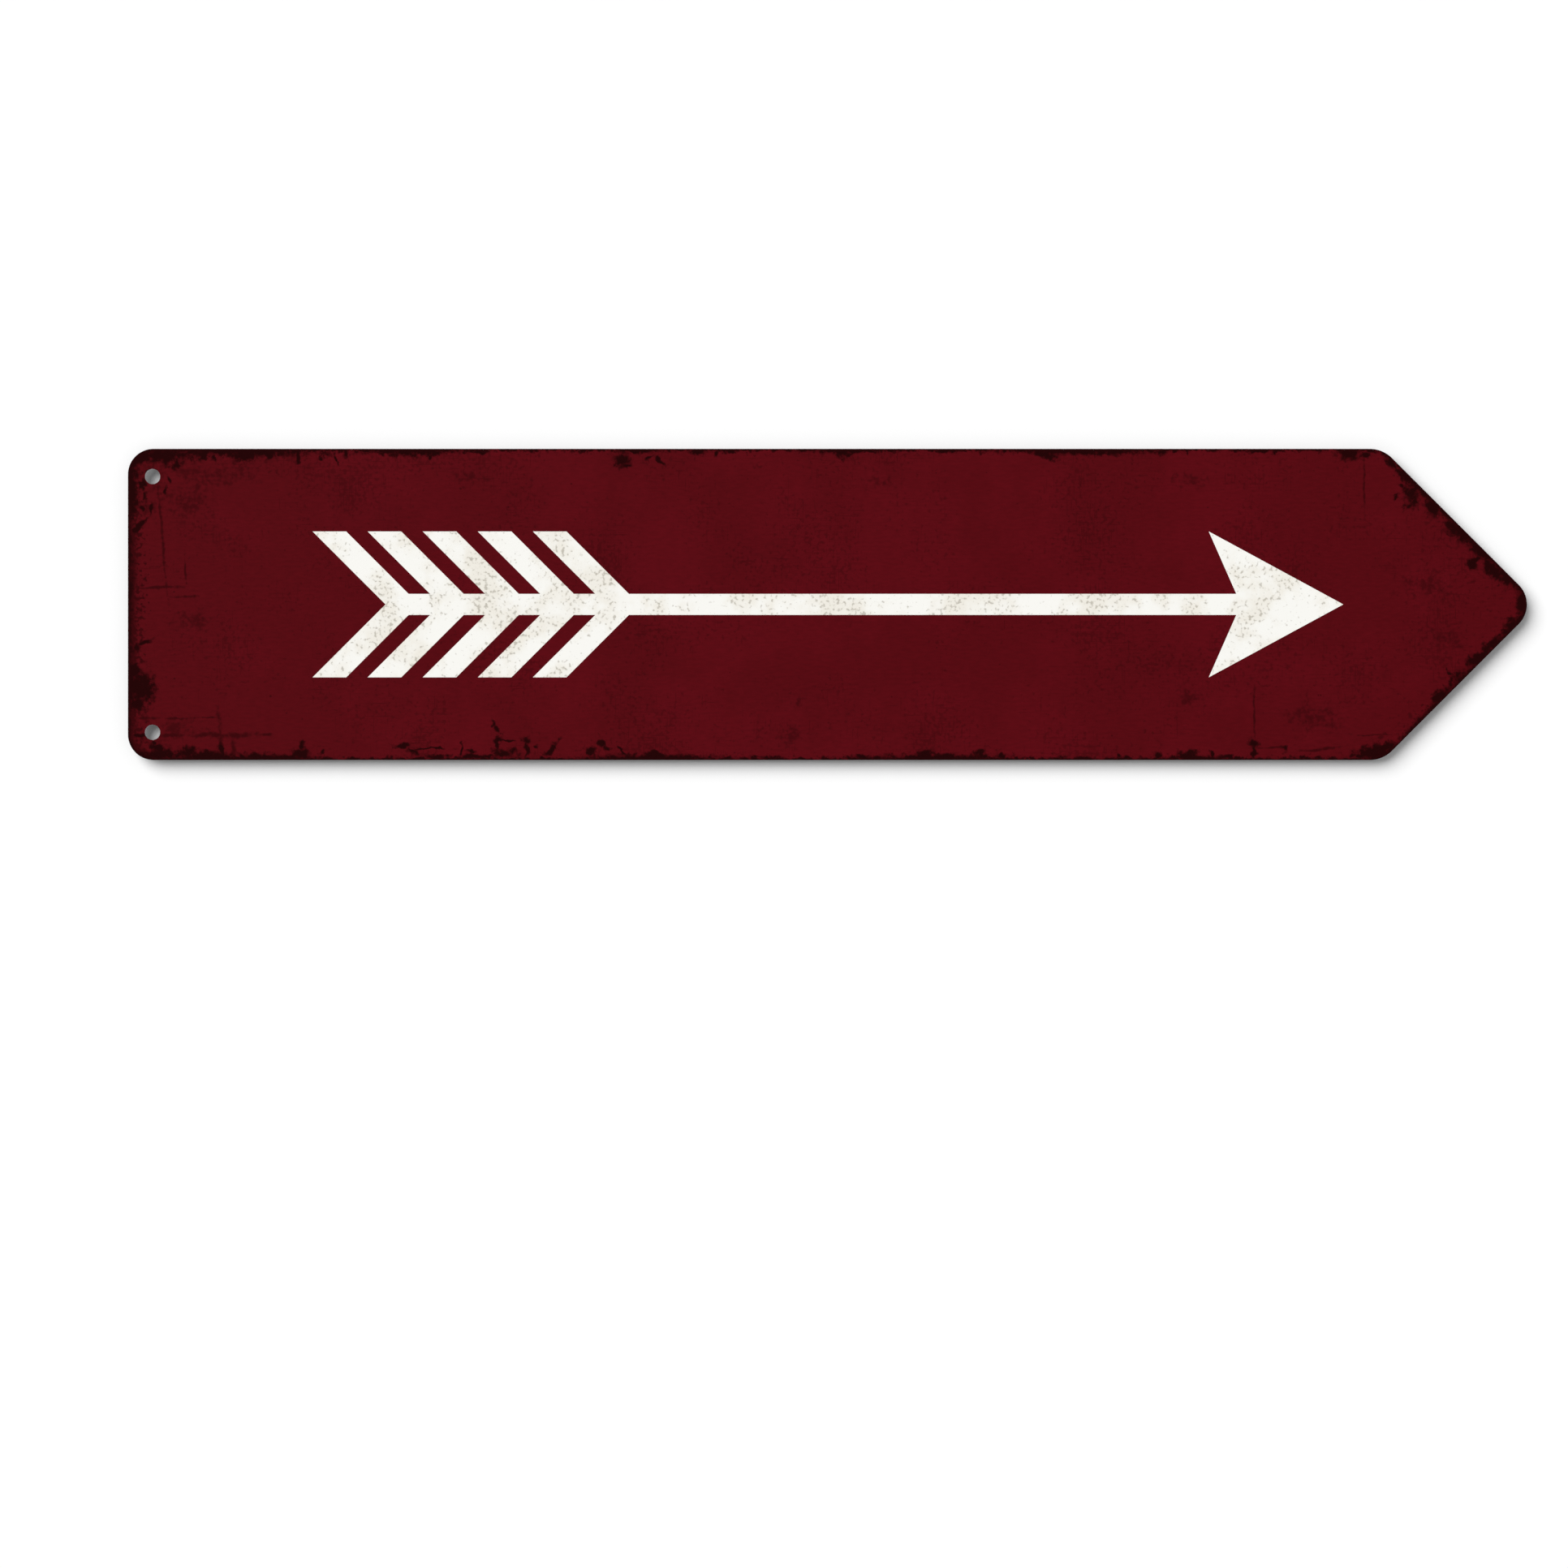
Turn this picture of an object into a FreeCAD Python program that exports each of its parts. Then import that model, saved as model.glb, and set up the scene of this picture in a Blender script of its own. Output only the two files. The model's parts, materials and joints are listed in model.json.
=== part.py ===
import FreeCAD, Part
import enum
import math
import os
import Sketcher

# A directional arrow sign: one flat aluminium sheet, cut to an arrow and punched with two
# fixing holes at its tail. +X runs along the sign to its point, +Z is up, and the printed
# face looks along -Y. The origin is on the back face, midway between the fixing holes.

# Driving dimensions in millimetres, and one angle in degrees.
SIZES = [
    ("sign_length", 457.2, "from the tail edge to the rounded point"),
    ("sign_height", 101.6, "between the two long edges"),
    ("sheet_thickness", 1.0, "gauge of the sheet"),
    ("point_angle", 90.0, "degrees between the two edges of the point"),
    ("point_radius", 9.0, "rounding of the point"),
    ("shoulder_radius", 10.2, "rounding where a long edge turns to the point"),
    ("tail_radius", 8.3, "rounding of the two tail corners"),
    ("hole_diameter", 5.0, "punched fixing holes"),
    ("hole_from_tail", 8.0, "hole centres to the tail edge"),
    ("hole_from_side", 9.0, "hole centres to the nearest long edge"),
    ("edge_round", 0.15, "easing of the cut edges"),
]

# An eased edge may take at most this share of the sheet's thickness.
MOST_EDGE_SHARE = 1 / 3


class Spot(enum.IntEnum):
    """The numbers by which a sketch names the points of an edge."""

    START = 1
    END = 2
    CENTRE = 3


class Axis(enum.IntEnum):
    """The numbers by which a sketch names its own axes, which start at its origin."""

    ACROSS = -1
    UPRIGHT = -2


def make_sheet(doc):
    """The spreadsheet that holds the driving dimensions, one aliased cell each."""
    sheet = doc.addObject("Spreadsheet::Sheet", "sizes")
    for row, (alias, value, meaning) in enumerate(SIZES, start=1):
        sheet.set(f"A{row}", alias)
        sheet.set(f"B{row}", str(value))
        sheet.setAlias(f"B{row}", alias)
        sheet.set(f"C{row}", meaning)
    doc.recompute()
    return sheet


def face_sketch(body, name):
    """An empty sketch on the plane of the back face: its x is +X, its y is +Z."""
    sketch = body.newObject("Sketcher::SketchObject", name)
    plane = next(f for f in body.Origin.OriginFeatures if f.Role == "XZ_Plane")
    sketch.AttachmentSupport = (plane, [""])
    sketch.MapMode = "FlatFace"
    return sketch


def drive(sketch, name, expression, *constraint):
    """Add a dimension to a sketch and bind it to the spreadsheet."""
    index = sketch.addConstraint(Sketcher.Constraint(*constraint))
    sketch.renameConstraint(index, name)
    sketch.setExpression(f"Constraints.{name}", expression)


def line(sketch, start, end):
    """A straight edge between two (x, z) points."""
    return sketch.addGeometry(Part.LineSegment(FreeCAD.Vector(*start, 0), FreeCAD.Vector(*end, 0)))


def arc(sketch, centre, radius, first, last):
    """A circular edge, anticlockwise from the first angle to the last, in radians."""
    circle = Part.Circle(FreeCAD.Vector(*centre, 0), FreeCAD.Vector(0, 0, 1), radius)
    return sketch.addGeometry(Part.ArcOfCircle(circle, first, last))


def draw_outline(body, sheet):
    """The arrow's outline: straight edges joined by tangent arcs, true about the sign's axis."""
    sketch = face_sketch(body, "outline")
    half = sheet.sign_height / 2
    lean = math.radians(sheet.point_angle / 2)
    square = math.pi / 2
    tail_x = -sheet.hole_from_tail
    tail_r = sheet.tail_radius
    shoulder_r = sheet.shoulder_radius
    point_r = sheet.point_radius
    point_x = sheet.sign_length - sheet.hole_from_tail - point_r
    sharp_x = point_x + point_r / math.sin(lean)
    shoulder_x = sharp_x - half / math.tan(lean) - shoulder_r * math.tan(lean / 2)

    # Where the upper arcs meet their edges; the lower ones are the same with z turned over.
    tail_end = (tail_x, half - tail_r)
    long_start = (tail_x + tail_r, half)
    long_end = (shoulder_x, half)
    slope_start = (
        shoulder_x + shoulder_r * math.sin(lean),
        half - shoulder_r * (1 - math.cos(lean)),
    )
    slope_end = (point_x + point_r * math.sin(lean), point_r * math.cos(lean))

    def lower(point):
        return (point[0], -point[1])

    tail = line(sketch, lower(tail_end), tail_end)
    upper_tail = arc(sketch, (tail_x + tail_r, half - tail_r), tail_r, square, 2 * square)
    upper_long = line(sketch, long_start, long_end)
    upper_shoulder = arc(sketch, (shoulder_x, half - shoulder_r), shoulder_r, square - lean, square)
    upper_slope = line(sketch, slope_start, slope_end)
    point = arc(sketch, (point_x, 0), point_r, lean - square, square - lean)
    lower_slope = line(sketch, lower(slope_end), lower(slope_start))
    lower_shoulder = arc(sketch, (shoulder_x, shoulder_r - half), shoulder_r, -square, lean - square)
    lower_long = line(sketch, lower(long_end), lower(long_start))
    lower_tail = arc(sketch, (tail_x + tail_r, tail_r - half), tail_r, 2 * square, 3 * square)

    # The edges in order round the sheet, each with the end that meets the next one's start.
    # Arcs run anticlockwise, so on this clockwise tour they are entered at their end.
    tour = [
        (tail, Spot.START, Spot.END),
        (upper_tail, Spot.END, Spot.START),
        (upper_long, Spot.START, Spot.END),
        (upper_shoulder, Spot.END, Spot.START),
        (upper_slope, Spot.START, Spot.END),
        (point, Spot.END, Spot.START),
        (lower_slope, Spot.START, Spot.END),
        (lower_shoulder, Spot.END, Spot.START),
        (lower_long, Spot.START, Spot.END),
        (lower_tail, Spot.END, Spot.START),
    ]
    for (edge, _, leaves), (following, enters, _) in zip(tour, tour[1:] + tour[:1]):
        sketch.addConstraint(Sketcher.Constraint("Tangent", edge, leaves, following, enters))
    sketch.addConstraint(Sketcher.Constraint("Vertical", tail))
    sketch.addConstraint(Sketcher.Constraint("Horizontal", upper_long))
    sketch.addConstraint(Sketcher.Constraint("Horizontal", lower_long))
    sketch.addConstraint(Sketcher.Constraint("Symmetric", point, Spot.START, point, Spot.END, Axis.ACROSS))
    sketch.addConstraint(Sketcher.Constraint("Equal", upper_tail, lower_tail))
    sketch.addConstraint(Sketcher.Constraint("Equal", upper_shoulder, lower_shoulder))

    origin = (Axis.ACROSS, Spot.START)
    drive(sketch, "tail_reach", "sizes.hole_from_tail",
          "DistanceX", tail, Spot.START, *origin, sheet.hole_from_tail)
    drive(sketch, "upper_reach", "sizes.sign_height / 2",
          "DistanceY", *origin, upper_long, Spot.START, half)
    drive(sketch, "lower_reach", "sizes.sign_height / 2",
          "DistanceY", lower_long, Spot.START, *origin, half)
    drive(sketch, "point_reach", "sizes.sign_length - sizes.hole_from_tail - sizes.point_radius",
          "DistanceX", *origin, point, Spot.CENTRE, point_x)
    drive(sketch, "tail_radius", "sizes.tail_radius", "Radius", upper_tail, tail_r)
    drive(sketch, "shoulder_radius", "sizes.shoulder_radius", "Radius", upper_shoulder, shoulder_r)
    drive(sketch, "point_radius", "sizes.point_radius", "Radius", point, point_r)
    drive(sketch, "point_angle", "sizes.point_angle * 1 deg",
          "Angle", upper_slope, Spot.END, lower_slope, Spot.START, 2 * lean)
    return sketch


def draw_holes(body, sheet):
    """The two fixing holes, one above the other on the sketch's upright axis."""
    sketch = face_sketch(body, "fixing_holes")
    radius = sheet.hole_diameter / 2
    height = sheet.sign_height / 2 - sheet.hole_from_side
    normal = FreeCAD.Vector(0, 0, 1)
    upper = sketch.addGeometry(Part.Circle(FreeCAD.Vector(0, height, 0), normal, radius))
    lower = sketch.addGeometry(Part.Circle(FreeCAD.Vector(0, -height, 0), normal, radius))
    origin = (Axis.ACROSS, Spot.START)
    centres = (upper, Spot.CENTRE, lower, Spot.CENTRE)
    sketch.addConstraint(Sketcher.Constraint("PointOnObject", upper, Spot.CENTRE, Axis.UPRIGHT))
    sketch.addConstraint(Sketcher.Constraint("Symmetric", *centres, *origin))
    sketch.addConstraint(Sketcher.Constraint("Equal", upper, lower))
    drive(sketch, "hole_diameter", "sizes.hole_diameter", "Diameter", upper, 2 * radius)
    drive(sketch, "hole_height", "sizes.sign_height / 2 - sizes.hole_from_side",
          "DistanceY", *origin, upper, Spot.CENTRE, height)
    return sketch


def cut_edges(shape):
    """Names of the outline's edges on the front and back faces, the two largest faces."""
    faces = sorted(shape.Faces, key=lambda face: face.Area)[-2:]
    outlines = [edge for face in faces for edge in face.OuterWire.Edges]
    return [
        f"Edge{number}"
        for number, edge in enumerate(shape.Edges, start=1)
        if any(edge.isSame(outline) for outline in outlines)
    ]


def make_sign_plate(doc, sheet):
    """The sheet, cut to the outline, punched, and eased along its cut edges."""
    body = doc.addObject("PartDesign::Body", "sign_plate")
    body.Label = "sign_plate"

    outline = draw_outline(body, sheet)
    blank = body.newObject("PartDesign::Pad", "blank")
    blank.Profile = outline
    blank.setExpression("Length", "sizes.sheet_thickness")
    doc.recompute()

    holes = draw_holes(body, sheet)
    punched = body.newObject("PartDesign::Pocket", "punched")
    punched.Profile = holes
    punched.Type = "ThroughAll"
    punched.Reversed = True
    doc.recompute()
    taken_out = 2 * math.pi * (sheet.hole_diameter / 2) ** 2 * sheet.sheet_thickness
    if not math.isclose(blank.Shape.Volume - punched.Shape.Volume, taken_out, rel_tol=1e-4):
        raise RuntimeError("the fixing holes don't go through the sheet")

    eased = body.newObject("PartDesign::Fillet", "eased_edges")
    eased.Base = (punched, cut_edges(punched.Shape))
    eased.setExpression("Radius", f"min(sizes.edge_round; sizes.sheet_thickness * {MOST_EDGE_SHARE})")
    body.Tip = eased
    doc.recompute()
    return body


def check(doc, parts):
    """Stop if any object failed to compute or any part is not one sound solid."""
    for item in doc.Objects:
        if {"Invalid", "Error"} & set(item.State):
            raise RuntimeError(f"{item.Label} did not compute: {item.State}")
    for part in parts:
        if part.Shape.isNull() or not part.Shape.isValid() or len(part.Shape.Solids) != 1:
            raise RuntimeError(f"{part.Label} is not one valid solid")


def main():
    doc = FreeCAD.newDocument("arrow_sign")
    sheet = make_sheet(doc)
    parts = [make_sign_plate(doc, sheet)]
    doc.recompute()
    check(doc, parts)
    os.makedirs("parts", exist_ok=True)
    for part in parts:
        part.Shape.exportStep(f"parts/{part.Label}.step")


main()
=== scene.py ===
import json
import math
from collections import namedtuple

import bmesh
import bpy
from bpy.props import FloatProperty, FloatVectorProperty, IntProperty, PointerProperty
from mathutils import Color, Euler, Matrix, Vector


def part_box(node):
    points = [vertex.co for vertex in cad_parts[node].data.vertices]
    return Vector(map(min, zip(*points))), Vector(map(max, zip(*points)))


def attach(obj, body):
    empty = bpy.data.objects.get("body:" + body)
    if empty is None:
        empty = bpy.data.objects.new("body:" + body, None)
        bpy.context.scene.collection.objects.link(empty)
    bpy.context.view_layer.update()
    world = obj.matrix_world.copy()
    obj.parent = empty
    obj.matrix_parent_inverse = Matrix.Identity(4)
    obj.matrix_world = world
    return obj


bl_info = {
    "name": "Arrow Sign Finisher",
    "version": (1, 0, 0),
    "blender": (4, 5, 0),
    "location": "3D View > Sidebar > Arrow Sign",
    "description": "Brushes the metal of a flat arrow sign, prints its face and lights it on a white stage",
    "category": "Object",
}

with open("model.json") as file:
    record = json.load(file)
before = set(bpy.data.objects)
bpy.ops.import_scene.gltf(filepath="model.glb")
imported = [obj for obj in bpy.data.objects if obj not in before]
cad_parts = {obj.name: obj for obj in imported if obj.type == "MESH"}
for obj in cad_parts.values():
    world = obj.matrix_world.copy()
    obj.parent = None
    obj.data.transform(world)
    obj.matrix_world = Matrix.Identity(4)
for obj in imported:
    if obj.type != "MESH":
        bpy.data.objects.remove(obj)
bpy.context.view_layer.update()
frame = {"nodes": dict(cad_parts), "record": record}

# The one body and the one solid of the sign.
BODY = "root"
PLATE = "sign_plate"

# Shapes are in metres, in the frame of the solid: +X to the point, +Z up, front towards -Y.
# Finishes are worked out in millimetres.
MM = 0.001
LOW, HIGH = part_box(PLATE)
FRONT_Y = LOW.y
BACK_Y = HIGH.y
PLATE_LENGTH = HIGH.x - LOW.x
HALF_HEIGHT = (HIGH.z - LOW.z) / 2
MIDDLE = (LOW + HIGH) / 2
QUARTER_TURN = math.pi / 2
FIXING_HOLES = [
    mount for mount in frame["record"]["mounts"] if mount["name"] in ("upper_hole", "lower_hole")
]

# How finely round edges are drawn.
CORNER_STEPS = 24
HOLE_STEPS = 64
RIM_STEPS = 4

# Marks of wear on the print, in millimetres from the tail edge and from the long axis, with
# their length, width and turn in degrees.
Mark = namedtuple("Mark", "x z length width turn", defaults=(0,))

# Places where the print has gone dark, from the tail to the point.
TAIL_BRUISES = [
    Mark(3.2, 47.5, 11.0, 4.0, 45),
    Mark(12.6, 48.7, 16.0, 5.2),
    Mark(0.9, 37.6, 4.2, 19.0),
    Mark(15.9, 46.4, 1.8, 5.2, -20),
    Mark(13.6, 40.8, 1.5, 2.2),
    Mark(6.8, 43.5, 1.6, 1.6),
    Mark(5.0, 39.3, 1.9, 4.6),
    Mark(5.6, 35.5, 1.5, 3.8),
    Mark(4.6, 31.3, 1.1, 1.8),
    Mark(7.5, 31.4, 1.2, 3.4),
    Mark(11.8, 37.5, 1.0, 2.8),
    Mark(4.3, 26.4, 7.6, 1.7, 45),
    Mark(36.0, 50.4, 48.0, 3.6),
    Mark(25.0, 48.4, 1.8, 2.2),
    Mark(28.0, 47.8, 1.6, 2.8),
    Mark(37.2, 48.6, 10.0, 3.6),
    Mark(46.2, 48.4, 2.2, 3.4),
    Mark(55.5, 48.2, 1.3, 4.4),
    Mark(62.9, 48.0, 1.6, 1.6),
    Mark(68.0, 47.8, 1.1, 4.2, 20),
    Mark(70.9, 49.4, 1.4, 2.6),
    Mark(5.1, -12.4, 6.3, 0.9, 20),
    Mark(2.6, -14.2, 2.6, 2.6),
    Mark(3.1, -27.6, 9.2, 11.0),
    Mark(1.7, -21.8, 3.8, 5.6),
    Mark(3.0, -32.6, 4.8, 3.8),
    Mark(6.9, -29.6, 2.4, 1.2, 20),
    Mark(9.6, -49.2, 18.0, 3.6),
    Mark(9.4, -46.8, 5.4, 2.4, -20),
    Mark(19.6, -48.6, 6.4, 3.2),
    Mark(8.8, -45.2, 1.2, 1.4),
    Mark(4.6, -43.0, 5.4, 1.2),
    Mark(26.0, -49.9, 20.0, 3.0),
    Mark(48.0, -50.2, 26.0, 2.2),
    Mark(30.6, -47.6, 1.6, 5.6),
    Mark(37.0, -50.1, 8.0, 1.6),
    Mark(42.3, -49.5, 4.0, 1.5),
    Mark(56.6, -48.8, 5.0, 3.4),
    Mark(57.0, -46.2, 1.3, 3.2),
    Mark(63.5, -48.4, 1.4, 1.8),
]
MIDDLE_BRUISES = [
    Mark(91.5, 50.4, 31.0, 2.8),
    Mark(95.6, 49.4, 5.6, 2.4),
    Mark(98.7, 48.6, 1.0, 1.8),
    Mark(115.3, 49.8, 4.6, 1.8),
    Mark(161.4, 47.5, 5.8, 4.2),
    Mark(163.2, 45.4, 2.8, 1.6),
    Mark(166.0, 50.4, 13.0, 1.6),
    Mark(170.6, 47.8, 3.6, 0.9, 20),
    Mark(173.8, 46.9, 4.2, 1.0, -45),
    Mark(186.4, 50.0, 5.2, 2.0),
    Mark(192.2, 49.6, 1.3, 2.0),
    Mark(196.5, 50.1, 4.0, 1.3),
    Mark(233.8, 49.3, 5.6, 2.8),
    Mark(236.0, 50.4, 21.0, 1.6),
    Mark(267.4, 50.3, 8.6, 1.6),
    Mark(300.2, 48.9, 6.8, 2.6, -20),
    Mark(311.5, 50.4, 43.0, 2.6),
    Mark(318.2, 49.4, 3.0, 1.6),
    Mark(338.4, 49.9, 3.0, 1.8),
    Mark(89.7, -46.1, 4.6, 1.3),
    Mark(93.4, -48.3, 4.8, 1.4, -20),
    Mark(98.5, -47.2, 9.0, 0.6),
    Mark(101.0, -49.6, 7.0, 1.4),
    Mark(109.2, -47.5, 0.7, 4.2),
    Mark(112.6, -48.1, 3.4, 1.2),
    Mark(114.8, -49.7, 12.0, 1.4),
    Mark(119.2, -38.8, 1.3, 2.8),
    Mark(120.4, -41.2, 3.2, 0.8, -45),
    Mark(121.0, -43.8, 2.4, 2.2),
    Mark(123.8, -44.3, 4.2, 0.7),
    Mark(120.8, -46.0, 0.7, 4.0),
    Mark(123.7, -48.6, 8.8, 2.4),
    Mark(130.1, -44.1, 2.7, 2.2),
    Mark(130.3, -47.2, 1.1, 4.6),
    Mark(133.8, -46.2, 1.2, 1.0),
    Mark(138.1, -47.4, 6.0, 1.1, 45),
    Mark(139.6, -45.8, 1.8, 1.6),
    Mark(151.3, -48.0, 2.4, 2.8),
    Mark(155.0, -45.7, 3.2, 1.6, -20),
    Mark(156.6, -47.0, 1.6, 1.4),
    Mark(161.5, -47.9, 4.0, 0.7, -45),
    Mark(171.5, -50.4, 37.0, 2.8),
    Mark(171.6, -49.1, 5.2, 1.8),
    Mark(204.9, -50.0, 2.0, 1.3),
    Mark(210.2, -50.2, 5.4, 1.3),
    Mark(240.0, -49.8, 4.6, 1.7),
    Mark(264.5, -50.4, 40.0, 2.5),
    Mark(260.2, -49.0, 6.2, 2.0),
    Mark(278.8, -48.9, 3.6, 2.6),
    Mark(285.8, -49.7, 1.6, 1.6),
    Mark(312.4, -50.3, 6.0, 1.3),
    Mark(324.2, -49.7, 1.2, 1.8),
    Mark(336.8, -49.6, 2.2, 1.8),
    Mark(346.0, -49.3, 6.4, 2.6),
    Mark(349.0, -50.3, 18.0, 1.8),
]
POINT_BRUISES = [
    Mark(370.6, 50.4, 9.2, 1.5),
    Mark(375.0, 49.5, 1.2, 1.8),
    Mark(399.6, 49.3, 7.4, 3.6),
    Mark(404.6, 49.0, 1.6, 1.8),
    Mark(412.2, 46.3, 4.6, 1.6, -45),
    Mark(417.4, 42.0, 5.4, 2.8, -45),
    Mark(416.4, 38.6, 2.0, 1.4),
    Mark(414.4, 35.2, 2.4, 1.2, 45),
    Mark(419.5, 36.2, 4.4, 7.2),
    Mark(422.6, 38.0, 13.0, 3.4, -45),
    Mark(434.0, 24.4, 8.0, 4.8, -45),
    Mark(426.4, 32.0, 5.6, 4.6, -45),
    Mark(436.5, 23.4, 13.0, 4.2, -45),
    Mark(442.8, 17.2, 11.0, 4.6, -45),
    Mark(439.5, 13.5, 3.0, 3.2),
    Mark(441.0, 14.7, 4.4, 1.8, 45),
    Mark(446.0, 11.8, 6.4, 4.4, -45),
    Mark(450.4, 8.6, 8.0, 3.4, -45),
    Mark(455.7, 0.4, 3.2, 7.0),
    Mark(451.9, -7.0, 6.2, 2.8, 45),
    Mark(446.5, -12.2, 6.0, 2.2, 45),
    Mark(441.6, -17.0, 8.4, 3.4, 45),
    Mark(434.2, -23.6, 5.2, 2.8, 45),
    Mark(431.8, -22.6, 3.8, 1.2, -45),
    Mark(428.6, -30.2, 6.8, 2.4, 45),
    Mark(407.0, -48.4, 11.4, 4.2),
    Mark(411.6, -46.8, 6.2, 2.6, 20),
    Mark(402.2, -49.7, 4.4, 1.8),
    Mark(368.0, -45.2, 3.0, 2.8),
    Mark(368.0, -48.2, 1.0, 3.8),
    Mark(360.0, -49.9, 3.0, 1.5),
    Mark(354.0, -48.8, 1.2, 1.6),
    Mark(378.2, -47.2, 1.8, 2.2),
    Mark(267.4, -1.6, 1.3, 1.3),
    Mark(366.1, -2.2, 1.8, 1.8),
]
# Places where it is only a little darker.
SMUDGES = [
    Mark(217.6, -42.8, 12.0, 8.0),
    Mark(229.6, -39.2, 3.6, 3.0),
    Mark(219.8, -32.6, 3.0, 8.0),
    Mark(206.5, 45.4, 5.0, 1.8),
    Mark(246.0, 40.0, 12.0, 6.0),
    Mark(347.5, 40.6, 12.0, 7.0),
    Mark(332.2, -41.5, 3.6, 1.8, 45),
    Mark(327.9, -45.8, 1.6, 2.6),
    Mark(347.0, -30.5, 12.0, 6.0),
    Mark(388.0, -37.0, 20.0, 12.0),
    Mark(431.0, -11.0, 16.0, 10.0),
    Mark(425.0, 6.0, 20.0, 14.0),
    Mark(112.0, 42.0, 14.0, 5.0),
    Mark(4.0, 41.5, 24.0, 32.0),
    Mark(27.0, 43.0, 40.0, 9.0),
    Mark(5.5, 31.0, 10.0, 16.0),
    Mark(20.0, 34.0, 20.0, 16.0),
    Mark(21.0, -5.0, 14.0, 8.0),
    Mark(16.0, -41.0, 22.0, 9.0),
    Mark(4.0, -45.0, 26.0, 20.0),
    Mark(395.2, 43.6, 3.2, 3.4),
    Mark(429.8, 26.4, 1.4, 2.4),
    Mark(423.4, 29.6, 2.0, 2.4),
    Mark(433.0, 22.0, 2.8, 2.2),
    Mark(434.9, 18.6, 2.2, 2.0),
    Mark(439.0, 7.5, 2.4, 1.8),
    Mark(450.1, 4.6, 1.8, 1.8),
    Mark(419.3, -35.8, 1.8, 3.0),
    Mark(410.2, -42.8, 2.4, 1.6),
]
# Long thin marks.
SCRATCHES = [
    Mark(10.9, 25.0, 31.0, 0.7, 95),
    Mark(18.8, 11.6, 7.0, 0.5, 95),
    Mark(8.3, 5.5, 14.0, 0.6),
    Mark(17.9, 2.6, 7.0, 0.6),
    Mark(5.2, -37.2, 7.4, 0.7),
    Mark(16.3, -37.3, 5.6, 0.6),
    Mark(25.6, -36.9, 8.0, 0.4),
    Mark(11.0, -42.7, 19.0, 1.1),
    Mark(25.4, -42.8, 7.0, 0.9),
    Mark(32.0, -42.7, 18.0, 1.2),
    Mark(45.0, -42.7, 3.6, 0.8),
    Mark(30.3, -44.0, 13.4, 1.2, 95),
    Mark(34.6, -46.8, 6.4, 1.2, 95),
    Mark(404.0, 39.6, 0.6, 16.0),
    Mark(374.4, -46.8, 8.4, 0.5),
    Mark(389.0, -47.4, 0.7, 9.4, 95),
    Mark(368.2, -36.0, 0.5, 15.0),
    Mark(407.0, -42.6, 10.0, 0.4),
]

# How each kind of wear breaks up, by its shares of spatter, flakes and veins, and how its field
# turns to wear: where it starts, where it is full, and how dark it is there.
Wear = namedtuple("Wear", "spatter flakes veins start full dark")
RIM_WEAR = Wear(1.6, 3.2, -0.4, start=1.4, full=0.0, dark=1.0)
SPECK_WEAR = Wear(20.0, 10.0, 0.0, start=0.0, full=5.0, dark=0.7)
BRUISE_WEAR = Wear(1.0, 1.5, 0.3, start=-0.65, full=0.5, dark=1.0)
SMUDGE_WEAR = Wear(2.0, 2.2, 0.2, start=0.0, full=1.4, dark=0.5)
SCRATCH_WEAR = Wear(2.0, 2.2, 0.0, start=-1.1, full=0.8, dark=0.65)
# Veins run where their clouds are within this much of the middle.
VEIN_WIDTH = 0.045

# How marks are shaken out of shape, in millimetres: the size of the clouds, and their reach.
Shake = namedtuple("Shake", "size reach")
RAGGED = Shake(3.4, 2.6)
WAVY = Shake(7.0, 1.3)

# Where the rim goes from one depth to another, in millimetres from the tail edge, and from the
# place where the point starts.
TAIL_RIM_SPAN = (2.0, 22.0)
POINT_RIM_SPAN = (-6.0, 14.0)
# At the two ends specks reach in by this many times the rim's extra depth, less an inset.
SPECK_REACH = 4.0
SPECK_INSET = 1.2
# Dust and hairlines: how much drifts crowd them, the span over which they show, and how dark
# they are.
DUST_DRIFT = 0.9
DUST_SPAN = (0.56, 0.8)
DUST_DARK = 0.32
HAIRLINE_DRIFT = 0.5
HAIRLINE_SPAN = (0.92, 1.1)
HAIRLINE_DARK = 0.4
# Pinholes: the share of places without one, the size of the largest as a share of their spacing,
# how dark they are, and the span of their radius over which they fade.
BARE_SHARE = 0.45
LARGEST_PINHOLE = 0.1
PINHOLE_DARK = 0.6
PINHOLE_FADE = (0.3, 1.0)

# The field gets deeper over this span, in millimetres from the middle of the sign, by this much.
DEEPER_SPAN = (90.0, 230.0)
DEEPER_SHARE = 0.16
# The span of its clouds from the deep maroon to the maroon, and the span of its grain, with how
# bright the field is at either end.
CLOUD_SPAN = (0.36, 0.64)
GRAIN_SPAN = (0.25, 0.75)
GRAIN_LIGHT = (0.92, 1.07)

# The cream: how much clusters of specks yellow it, how much yellowed patches crowd the specks, and
# the spans over which it yellows and they crowd.
CLUSTER_AGEING = 0.6
AGEING_SPAN = (0.66, 1.0)
PATCH_CROWDING = 0.8
CROWDING_SPAN = (0.66, 1.15)
# The level that specks rise over where they are few and where they crowd, the span above it over
# which they darken, how dark they get, and the span of that over which the ink gets rough.
SPECK_LEVELS = (0.7, 0.48)
DIRT_SPAN = (0.0, 0.24)
DIRT_DARK = 0.55
ROUGH_SPAN = (0.0, 0.6)
# Both prints are nearly matt.
PRINT_SPECULAR = 0.02

# The share of long lines in the brushing. The rest is hairs.
LINE_SHARE = 0.65
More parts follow.
